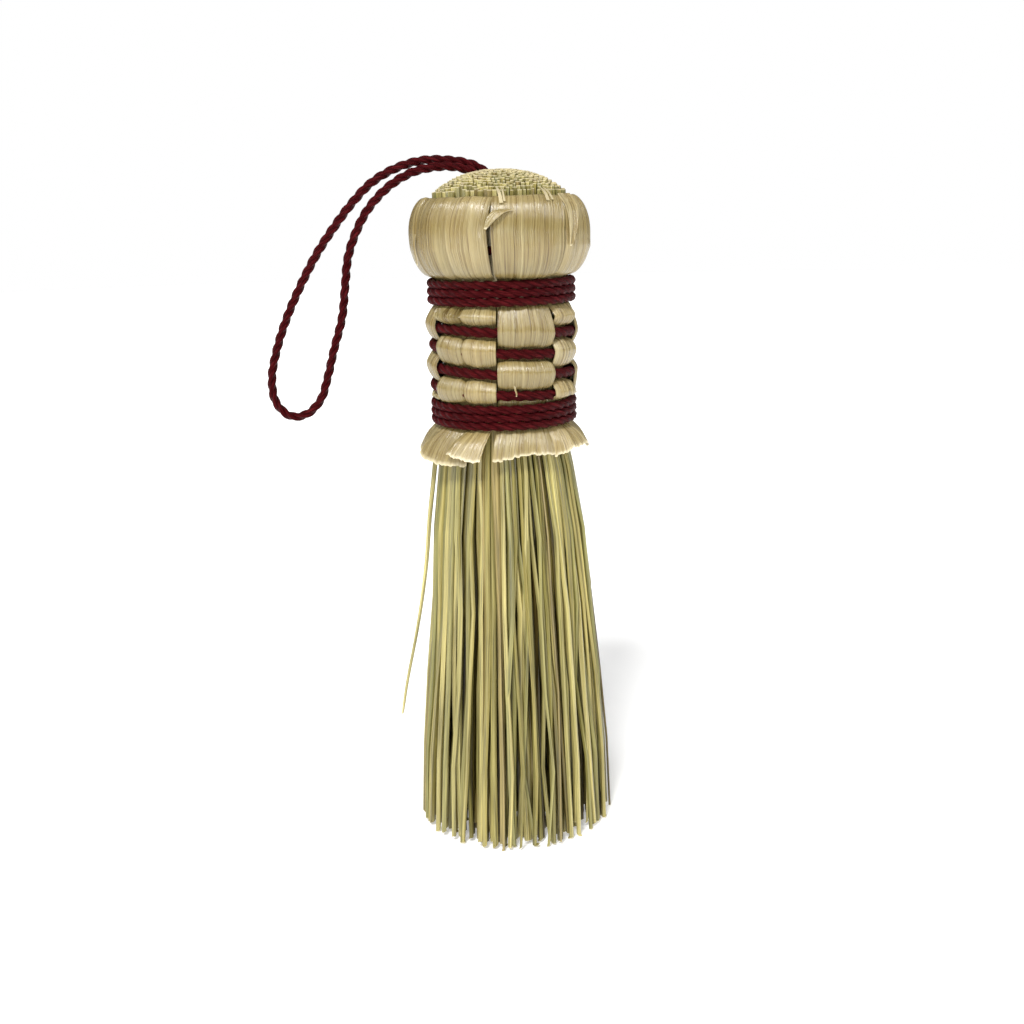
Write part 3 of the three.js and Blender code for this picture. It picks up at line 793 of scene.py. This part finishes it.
def skin_stations(strip, azimuth):
    """Stations of a strip's line, each a radius and a height for each azimuth: inner leg, fold, bulge,
    upper binding, weave and lower binding. It dips under each cord that lies over it and pillows out
    between them."""
    line = [(radius, height + 0 * azimuth) for radius, height in HEAD_OUTLINE]

    def follow(steps, radius, height):
        line.extend((radius + dr, height + dz + 0 * azimuth) for dr, dz in steps)

    last_upper = UPPER_BAND_Z - BAND_PITCH
    first_lower = LOWER_BAND_Z + BAND_PITCH
    follow(UNDER_BAND_IN, BAND_RADIUS, UPPER_BAND_Z + BAND_PITCH)
    follow(UNDER_BAND_OUT, BAND_RADIUS, last_upper)
    last_low = last_upper
    is_out = False
    rows = weft_rows(strip.panel)
    for row, cord_over in rows:
        height = weft_height(azimuth + 360 * (row - 1))
        if cord_over:
            if not is_out:
                line.append((PILLOW_RADIUS, (last_low + height) / 2))
            follow(DIP_STEP, WEFT_RADIUS, height)
            follow([(dr, -dz) for dr, dz in reversed(DIP_STEP)], WEFT_RADIUS, height)
            last_low = height
        else:
            follow(OVER_STEP, STRIP_OVER_CORD, height)
        is_out = not cord_over
    last_row = rows[-1][0]
    room = weft_height(azimuth.mean() + 360 * (last_row - 1)) - first_lower
    if not is_out and room < SHORT_DROP + FRAME_BAND_CORD:
        line.pop()
    else:
        if last_row < ROWS and not is_out:
            line.append((PILLOW_RADIUS, (last_low + first_lower) / 2 + LAST_PILLOW_RISE))
        follow(LOWER_BAND_IN, BAND_RADIUS, first_lower)
    follow(UNDER_BAND_IN[1:], BAND_RADIUS, first_lower)
    follow(UNDER_BAND_OUT, BAND_RADIUS, LOWER_BAND_Z - BAND_PITCH)
    return np.array([np.stack([radius + 0 * azimuth, height], axis=-1) for radius, height in line])


def parabola(share, left, middle, right):
    """Parabola through three values at shares 0, 1/2 and 1."""
    return (left * (2 * share - 1) * (share - 1) + middle * 4 * share * (1 - share)
            + right * share * (2 * share - 1))


def skin_strip(strip, thickness, relief_depth, seed):
    """One strip. Its line is carried from edge to edge, the edges wander between their azimuths at the
    rim, belly, neck, waist and cut end, and dips pinch it. Notches and waves end it. Its relief along its
    normals is the sum of ribs and dents, gathers, a crease under the belly, and edges that curl off by an
    exponential of the distance from them or are rounded in."""
    width = math.radians(strip.right[1] - strip.left[1]) * HEAD_OUTLINE[BELLY_STATION][0]
    columns = round(width / COLUMN_WIDTH)
    share = np.linspace(0, 1, columns)
    woven = np.array([np.mean(strip.left[2:]), np.mean(strip.right[2:])])
    stations = skin_stations(strip, woven[0] + share * (woven[1] - woven[0]))
    end_azimuth, end_radius, end_height = (parabola(share, *three) for three in zip(*strip.ends))
    ragged = sum(depth * relief(share * width / wide, 0 * share, seed) for depth, wide in NOTCHES)
    end = np.stack([end_radius, end_height + ragged], axis=-1)
    bend = stations[-1] + (end - stations[-1]) * (0.55, 0.4)
    stations = np.concatenate([stations, bend[None], end[None]])
    radius, height = np.moveaxis(spline(stations, ROWS_PER_STATION), -1, 0)
    station = np.arange(len(radius))[:, None] / ROWS_PER_STATION
    last = len(stations) - 1
    waist = last - WAIST_FROM_END
    marks = (0, RIM_STATION, BELLY_STATION, NECK_STATION, waist, last)
    left = np.interp(station, marks, (strip.left[0], *strip.left, strip.ends[0][0]))
    right = np.interp(station, marks, (strip.right[0], *strip.right, strip.ends[2][0]))
    is_woven = (station > NECK_STATION) & (station < waist)
    pinch = np.where(is_woven, ramp(PILLOW_RADIUS - radius, *PINCH_DEPTHS), 0)
    azimuth = left + (0.5 + (share - 0.5) * (1 - PINCH * pinch)) * (right - left)
    skirt = ramp(station, last - 2, last)
    straight_end = strip.ends[0][0] + share * (strip.ends[2][0] - strip.ends[0][0])
    base = polar(radius, azimuth + skirt * (end_azimuth - straight_end), height)
    along = walked(base)
    across = share * width + 0 * along

    shown = ramp(station, RIM_STATION - 0.5, RIM_STATION + 2)
    ribs = sum(depth * relief(across / wide, along / long, seed + index)
               for index, (depth, wide, long) in enumerate(SKIN_RELIEF))
    tall = ribs * relief_depth * shown
    wander = GATHER_WANDER * relief(across / 2, along / 2.5, seed + 3)
    gathers = np.sin(2 * np.pi * (across / GATHER_WIDTH + wander))
    gathered = strip.pleats * bell(station, FIRST_PILLOW, PILLOW_SPAN)
    tall = tall + GATHER_DEPTH * gathers * gathered
    # Painted highlight band by the crease and painted shade across the upper belly.
    shade = sum(lighter * bell(station, middle, reach) for lighter, middle, reach in PAINTED_LIGHT_AND_SHADE)
    # The hollows of the gathers are darkened with painted shade.
    tone = strip.tone * (1 + GATHER_PAINTED_SHADE * np.minimum(gathers, 0) * gathered) * (1 + shade)
    belly = bell(station, BELLY_STATION, BELLY_SPAN)
    for lift, tuck, distance in zip(strip.lift, strip.tuck, (share * width, (1 - share) * width)):
        rounding = sum(part * np.exp(-distance / reach) for part, reach in ROUNDING)
        tall = tall - tuck * rounding * shown * (1 - SKIRT_EASE * skirt)
        tall = tall + lift * belly * np.exp(-distance / LIFT_WIDTH)
    crease = CREASE_DEPTH * (1 + relief(across / 1.6, along / 6, seed + 5))
    wave, wide = SKIRT_WAVE
    tall = tall + bell(station, CREASE_STATION, CREASE_SPAN) * crease
    tall = tall + wave * relief(across / wide, 0 * along, seed + 4) * skirt
    skin = base + tall[..., None] * outwards(base)
    cut = ramp(station, last - 0.25, last) + 0 * share
    return ribbon(skin, thickness, across, along, strip_tint(seed), tone, cut)


def strip_tint(seed):
    return (seed % 10) / 10 + 0.05


def sliver(route, tone, seed):
    """Narrow torn ribbon along a spline of places, as wide as it says at each. It is carried sideways
    around the whisk, and its two edges curl outwards by the square of their distance from its middle."""
    places = spline(route, 8)
    azimuth, radius, height, width = (values[:, None] for values in places.T)
    share = np.linspace(-0.5, 0.5, SLIVER_COLUMNS)[None]
    curl = 0.5 * np.minimum(width, 1.5) * share**2
    skin = polar(radius + curl, azimuth + np.degrees(width * share / radius), height)
    cut = ramp(np.arange(len(places)), len(places) - 3, len(places) - 1)[:, None] + 0 * share
    return ribbon(skin, SLIVER_THICKNESS, share * width, walked(skin), strip_tint(seed), tone, cut)


# ---- Settings ----

def length_setting(name, description, default):
    return bpy.props.FloatProperty(
        name=name, description=description, default=default, min=0, precision=5, unit="LENGTH",
        subtype="DISTANCE")


def colour_setting(name, description, default):
    return bpy.props.FloatVectorProperty(
        name=name, description=description, default=default, size=3, min=0, max=1, subtype="COLOR")


class WhiskSizes(bpy.types.PropertyGroup):
    """Sizes of the whisk that its maker would change."""

    stem_count: bpy.props.IntProperty(
        name="Stems", description="Number of stems in the bundle", default=660, min=100, max=1500)
    stem_thin: length_setting("Thin stem", "Radius of the thinnest stems", 0.0005)
    stem_thick: length_setting("Thick stem", "Radius of the thickest stems", 0.00082)
    skin_thickness: length_setting("Skin", "Thickness of a strip of stalk skin", 0.0003)
    skin_relief: bpy.props.FloatProperty(
        name="Skin relief", description="How strongly the strips are ribbed and dented", default=1.25,
        min=0, max=3)
    band_cord: length_setting("Binding cord", "Radius of the cord in the bindings", 0.00119)
    weft_cord: length_setting("Weft cord", "Radius of the cord in the weave", 0.00135)
    loop_cord: length_setting("Loop cord", "Radius of the hanging loop's cord", 0.00124)
    lay: length_setting("Lay", "Length in which a ply goes once around its rope", 0.0096)


class WhiskColours(bpy.types.PropertyGroup):
    """Colours of the whisk's three finishes."""

    skin: colour_setting("Skin", "Stalk skin", (0.325, 0.254, 0.105))
    skin_dark: colour_setting("Skin, dark", "Dark fibres of the skin", (0.20, 0.146, 0.052))
    skin_pale: colour_setting("Skin, pale", "Pale fibres of the skin", (0.50, 0.425, 0.22))
    pith: colour_setting("Pith", "Cut ends and the inner side of the skin", (0.80, 0.70, 0.46))
    stem: colour_setting("Stem", "Straw-coloured stems", (0.31, 0.256, 0.069))
    stem_pale: colour_setting("Stem, pale", "Pale stems", (0.54, 0.468, 0.18))
    stem_green: colour_setting("Stem, green", "Greenish stems", (0.215, 0.20, 0.06))
    stem_tan: colour_setting("Stem, tan", "Tan stems", (0.29, 0.225, 0.08))
    cord: colour_setting("Cord", "Twisted cord", (0.046, 0.0024, 0.0034))
    # The dark cord colour is both the darkest filaments and the painted shade of the valleys.
    cord_dark: colour_setting("Cord, dark", "Valleys of the cord", (0.009, 0.0005, 0.0007))
    # Painted highlight: the palest filaments stand in for glints along the fibres.
    cord_light: colour_setting("Cord, light", "Filaments that catch the light", (0.135, 0.014, 0.017))


class WhiskStage(bpy.types.PropertyGroup):
    """Floor, light and camera."""

    floor_radius: length_setting("Floor", "Radius of the pale floor", 3.0)
    focal_length: bpy.props.FloatProperty(
        name="Focal length", description="Focal length of the camera in millimetres", default=42.19)
    sky: bpy.props.FloatProperty(
        name="Sky", description="Strength of the soft light from all around", default=0.24, min=0)


# ---- Operators ----

# The camera's place in metres and its turns in degrees.
CAMERA_PLACE = (0.0015, -0.3224, 0.1695)
CAMERA_TILT = 75.96
CAMERA_ROLL = -1.3
# Azimuth and elevation that each light comes from, its strength and its apparent width in degrees.
LIGHTS = {
    "light_top": (-18, 50, 3.0, 14),
    "light_front": (-10, 4, 0.75, 12),
    "light_left": (-80, 30, 0.55, 30),
    "light_right": (74, 28, 1.15, 20),
}
# The floor glows a little, so that it stays as pale as the sky behind it.
FLOOR_GLOW = 0.34
# Rings of the floor, as shares of its radius.
FLOOR_RINGS = (0.001, 0.05, 0.12, 0.3, 0.8, 1.0)
FLOOR_SIDES = 64


class WHISK_OT_stage(bpy.types.Operator):
    """Set the camera, the soft studio light and the pale floor"""

    bl_idname = "whisk.stage"
    bl_label = "Stage"

    def execute(self, context):
        stage = context.scene.whisk_stage
        camera = bpy.data.objects.new("camera", bpy.data.cameras.new("camera"))
        camera.data.lens = stage.focal_length
        camera.data.clip_start = 0.005
        camera.data.clip_end = 20
        camera.matrix_world = (Matrix.Translation(CAMERA_PLACE)
                               @ Matrix.Rotation(math.radians(CAMERA_TILT), 4, "X")
                               @ Matrix.Rotation(math.radians(CAMERA_ROLL), 4, "Z"))
        context.scene.collection.objects.link(camera)
        context.scene.camera = camera
        context.scene.view_settings.view_transform = "Standard"
        for name, (azimuth, elevation, strength, width) in LIGHTS.items():
            lamp = bpy.data.lights.new(name, "SUN")
            lamp.energy = strength
            lamp.angle = math.radians(width)
            light = bpy.data.objects.new(name, lamp)
            light.rotation_euler = (math.radians(90 - elevation), 0, math.radians(azimuth))
            context.scene.collection.objects.link(light)
        self.make_sky(context.scene, stage.sky)
        self.make_floor(context.scene, stage.floor_radius)
        return {"FINISHED"}

    def make_sky(self, scene, strength):
        """Sky that is brighter overhead than along the horizon, and plain white where it is looked at."""
        scene.world = bpy.data.worlds.new("sky")
        scene.world.use_nodes = True
        tree = scene.world.node_tree
        tree.nodes.clear()
        direction = add_node(tree, "ShaderNodeTexCoord").outputs["Generated"]
        height = add_node(tree, "ShaderNodeSeparateXYZ", {0: direction}).outputs["Z"]
        glow = grey_ramp(tree, height, (0.0, 0.22), (0.3, 0.4), (0.65, 1.0), (1.0, 1.5))
        lit = add_node(tree, "ShaderNodeBackground", {"Color": glow, "Strength": strength})
        seen = add_node(tree, "ShaderNodeBackground", {"Color": (1, 1, 1, 1), "Strength": 1.0})
        is_seen = add_node(tree, "ShaderNodeLightPath").outputs["Is Camera Ray"]
        mixed = add_node(tree, "ShaderNodeMixShader", {0: is_seen, 1: lit.outputs[0], 2: seen.outputs[0]})
        add_node(tree, "ShaderNodeOutputWorld", {"Surface": mixed.outputs[0]})

    def make_floor(self, scene, radius):
        """Flat disc: rings of points at growing radii around the middle."""
        reach = np.array(FLOOR_RINGS) * radius
        around = np.linspace(0, 2 * np.pi, FLOOR_SIDES, endpoint=False)
        x = reach[:, None] * np.cos(around)
        y = reach[:, None] * np.sin(around)
        points = np.stack([x, y, 0 * x], axis=-1).reshape(-1, 3)
        faces = wrapped_quads(len(reach), len(around)).tolist() + [list(range(len(around)))]
        mesh = bpy.data.meshes.new("floor")
        mesh.from_pydata(points.tolist(), [], faces)
        material, tree, shader = new_material("pale_floor")
        grain = add_node(tree, "ShaderNodeTexNoise", {"Scale": 900.0, "Detail": 2.0}).outputs["Fac"]
        tone = colour_ramp(tree, grain, (0.3, (0.88, 0.88, 0.875)), (0.7, (0.92, 0.92, 0.915)))
        tree.links.new(tone, shader.inputs["Base Color"])
        shader.inputs["Roughness"].default_value = 0.9
        shader.inputs["Emission Color"].default_value = (1, 1, 1, 1)
        shader.inputs["Emission Strength"].default_value = FLOOR_GLOW
        mesh.materials.append(material)
        floor = bpy.data.objects.new("floor", mesh)
        scene.collection.objects.link(floor)


def build_rope(name, node, path, outward, radius, lay, closed=False):
    """Rope of twisted cord along a path, from sizes in metres."""
    surface = rope(path, outward, radius / MM, lay / MM, closed)
    return build(name, surface, material_for("twisted_cord"), node)


class WHISK_OT_hanging_loop(bpy.types.Operator):
    """Lay the loop of twisted cord that hangs out of the crown"""

    bl_idname = "whisk.hanging_loop"
    bl_label = "Hanging loop"

    def execute(self, context):
        sizes = context.scene.whisk_sizes
        path = evenly(spline(LOOP_ROUTE, 40), ROPE_STEP)
        piece = build_rope("loop_rope", "hanging_loop", path, np.array([[0.0, 1.0, 0.0]]),
                           sizes.loop_cord, sizes.lay)
        return {"FINISHED"}


class WHISK_OT_bindings(bpy.types.Operator):
    """Wind the upper and lower binding, the inner tie and the weft"""

    bl_idname = "whisk.bindings"
    bl_label = "Bindings and weft"

    def execute(self, context):
        sizes = context.scene.whisk_sizes
        bands = (
            ("upper_band_rope", "upper_binding", BAND_RADIUS, UPPER_BAND_Z, BAND_TURNS),
            ("lower_band_rope", "lower_binding", BAND_RADIUS, LOWER_BAND_Z, BAND_TURNS),
            ("inner_tie_rope", "inner_tie", TIE_RADIUS, TIE_Z, TIE_TURNS),
        )
        for name, node, radius, height, turns in bands:
            reach = (turns - 1 + BAND_LEVEL_SHARE) * 180
            path, outward = helix(radius, -reach, reach, level_turns(height, turns))
            build_rope(name, node, path, outward, sizes.band_cord, sizes.lay)
        path, outward = helix(WEFT_RADIUS, WEFT_START, WEFT_END, weft_height)
        build_rope("weft_rope", "weft_cord", path, outward, sizes.weft_cord, sizes.lay)
        return {"FINISHED"}


class WHISK_OT_loop_knot(bpy.types.Operator):
    """Tie the knot that holds the loop's two ends inside the bundle"""

    bl_idname = "whisk.loop_knot"
    bl_label = "Loop knot"

    def execute(self, context):
        turn = np.linspace(0, 2 * np.pi, 120, endpoint=False)
        x = np.sin(turn) + 2 * np.sin(2 * turn)
        y = np.cos(turn) - 2 * np.cos(2 * turn)
        z = -1.6 * np.sin(3 * turn)
        path = KNOT_CENTRE + KNOT_SIZE * np.stack([x, y, z], axis=-1)
        build_rope("knot_rope", "loop_knot", path, np.array([[0.0, 0.0, 1.0]]), KNOT_CORD_RADIUS * MM,
                   context.scene.whisk_sizes.lay / 2, closed=True)
        return {"FINISHED"}


class WHISK_OT_stems(bpy.types.Operator):
    """Stand the stems of the bundle together, lock by lock, and set the stray stem beside them"""

    bl_idname = "whisk.stems"
    bl_label = "Stems"

    def execute(self, context):
        sizes = context.scene.whisk_sizes
        rng = np.random.default_rng(11)
        places = spread_in_disc(sizes.stem_count, rng)
        girth = rng.uniform(sizes.stem_thin / MM, sizes.stem_thick / MM, len(places))
        girth = np.where(rng.random(len(places)) < SLENDER_SHARE, SLENDER * girth, girth)
        centres, radii = self.courses(places, girth, rng)
        tint = rng.uniform(0, 1, len(places))
        slope = rng.uniform(0, STEM_SLANT, len(places))
        reach = np.linalg.norm(places, axis=1)
        # Stems deep in the bundle are darker: painted shade.
        tone = INNER_PAINTED_SHADE + (1 - INNER_PAINTED_SHADE) * ramp(reach, *PAINTED_SHADE_REACH)
        for name, node, chosen in self.locks(places, reach):
            own = (values[chosen] for values in (centres, radii, tint, tone, slope))
            build(name, stem_tubes(*own, rng), material_for("dry_straw"), node)
        route = spline(STRAY_ROUTE, 3)[None]
        thick = np.linspace(*STRAY_THICK, route.shape[1])[None]
        stray = stem_tubes(route, thick, *np.array(STRAY_LOOKS), rng)
        build("stray_straw", stray, material_for("dry_straw"), "stray_stem")
        return {"FINISHED"}

    def locks(self, places, reach):
        """Name and node of each lock, and which stems belong to it: a disc in the middle, and two rings
        around it that are cut in equal sectors."""
        azimuth = np.degrees(np.arctan2(places[:, 0], -places[:, 1])) % 360
        yield "core_stems", "core_lock", reach < CORE_SHARE
        is_middle = (reach >= CORE_SHARE) & (reach < MIDDLE_SHARE)
        rings = (
            ("middle", is_middle, (azimuth - MIDDLE_START) % 360, MIDDLE_LOCKS),
            ("outer", reach >= MIDDLE_SHARE, azimuth, OUTER_LOCKS),
        )
        for ring, is_inside, turned, count in rings:
            sector = (turned // (360 / count)).astype(int)
            for i in range(count):
                yield f"{ring}_stems_{i + 1}", f"{ring}_lock_{i + 1}", is_inside & (sector == i)

    def courses(self, places, girth, rng):
        """Centres and radii of the stems' rings. A stem keeps its place in the disc, times the bundle's
        radius. Below the skirt it also drifts, sways and crosses its neighbours, or bows out as a sine of
        its height where it is loose, and it leans with the brush. At the crown it parts around the loop's
        two strands."""
        count = len(places)
        top_radius = np.linalg.norm(places, axis=1) * (CROWN_RADIUS - 0.6)
        top = crown_height(top_radius) + rng.uniform(*TOP_SPREAD, count)
        tip = np.abs(rng.normal(0, TIP_SPREAD, count)) + 0.02
        tip = np.where(rng.random(count) < SHORT_SHARE, tip + rng.uniform(*SHORT_BY, count), tip)
        levels = np.broadcast_to(STEM_LEVELS, (count, len(STEM_LEVELS)))
        height = np.column_stack([top, top - 0.3, levels, tip + 0.5, tip])
        bundle = np.interp(height, *BUNDLE.T)
        radii = girth[:, None] * np.interp(height, *SLIMNESS.T)
        radii[:, 0] *= TOP_RADIUS
        centre = places[:, None] * (bundle - girth[:, None])[..., None]
        flare = np.clip((FLARE_TOP - height) / FLARE_TOP, 0, 1)[..., None]
        drift = rng.normal(0, DRIFT, (count, 1, 2))
        is_crossing = rng.random((count, 1, 1)) < CROSSING_SHARE
        drift = drift + is_crossing * rng.normal(0, CROSSING_DRIFT, (count, 1, 2))
        phase = rng.uniform(0, 2 * np.pi, (count, 1, 1))
        phase = phase + height[..., None] / rng.uniform(*SWAY_LENGTH, (count, 1, 1))
        sway = rng.normal(0, SWAY, (count, 1, 2)) * np.sin(phase)
        sway = sway + rng.normal(0, KINKS, height.shape + (2,))
        centre = centre + drift * flare + sway * np.minimum(1, 4 * flare)
        reach = np.linalg.norm(centre, axis=-1, keepdims=True)
        chance = LOOSE_SHARE * ramp(np.linalg.norm(places, axis=1), *LOOSE_REACH)[:, None]
        is_loose = rng.random((count, 1)) < chance
        turn = flare[..., 0] * rng.uniform(*LOOSE_TURN, (count, 1))
        loose = LOOSE_BOW * is_loose * np.sin(np.pi * np.clip(turn, 0, 1))
        centre = centre * (1 + loose / np.maximum(bundle, 1))[..., None]
        over = np.maximum(reach - (bundle + 0.25 - radii + loose)[..., None], 0)
        centre = centre * (1 - HOLD_BACK * over / np.maximum(reach, 1e-6))
        centre[..., 0] += np.interp(height, *LEAN.T)
        away = centre - KNOT_CENTRE[:2]
        distance = np.linalg.norm(away, axis=-1, keepdims=True)
        hole = HOLE_RADIUS * ramp(height, *HOLE_HEIGHTS)[..., None]
        centre = KNOT_CENTRE[:2] + away * np.sqrt(1 + (hole / np.maximum(distance, 1e-6)) ** 2)
        return np.concatenate([centre, height[..., None]], axis=-1), radii


class WHISK_OT_strips(bpy.types.Operator):
    """Fold the strips of stalk skin over the shoulder and weave them through the cord"""

    bl_idname = "whisk.strips"
    bl_label = "Skin strips"

    def execute(self, context):
        sizes = context.scene.whisk_sizes
        for index, strip in enumerate(STRIPS):
            seed = 20 + 7 * index
            parts = [skin_strip(strip, sizes.skin_thickness / MM, sizes.skin_relief, seed)]
            parts += [sliver(route, strip.tone, seed) for route in SLIVERS.get(strip.name, ())]
            build(strip.name + "_skin", join(parts), material_for("satin_skin"), strip.name)
        return {"FINISHED"}


OPERATORS = (WHISK_OT_stage, WHISK_OT_hanging_loop, WHISK_OT_bindings, WHISK_OT_loop_knot,
             WHISK_OT_stems, WHISK_OT_strips)


class WHISK_PT_parts(bpy.types.Panel):
    """The whisk's pieces, in the order in which they are made"""

    bl_idname = "WHISK_PT_parts"
    bl_label = "Hand Whisk"
    bl_space_type = "VIEW_3D"
    bl_region_type = "UI"
    bl_category = "Whisk"

    def draw(self, context):
        for settings in ("whisk_sizes", "whisk_colours", "whisk_stage"):
            box = self.layout.box()
            group = getattr(context.scene, settings)
            for name in group.__annotations__:
                box.prop(group, name)
        for operator in OPERATORS:
            self.layout.operator(operator.bl_idname)


SETTINGS = {"whisk_sizes": WhiskSizes, "whisk_colours": WhiskColours, "whisk_stage": WhiskStage}


def register():
    for made in (*SETTINGS.values(), *OPERATORS, WHISK_PT_parts):
        bpy.utils.register_class(made)
    for name, group in SETTINGS.items():
        setattr(bpy.types.Scene, name, bpy.props.PointerProperty(type=group))


def unregister():
    for name in SETTINGS:
        delattr(bpy.types.Scene, name)
    for made in (WHISK_PT_parts, *reversed(OPERATORS), *SETTINGS.values()):
        bpy.utils.unregister_class(made)


def main():
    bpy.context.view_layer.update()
    register()
    bpy.ops.whisk.stage()
    bpy.ops.whisk.hanging_loop()
    bpy.ops.whisk.bindings()
    bpy.ops.whisk.loop_knot()
    bpy.ops.whisk.stems()
    bpy.ops.whisk.strips()


if __name__ == "__main__":
    main()
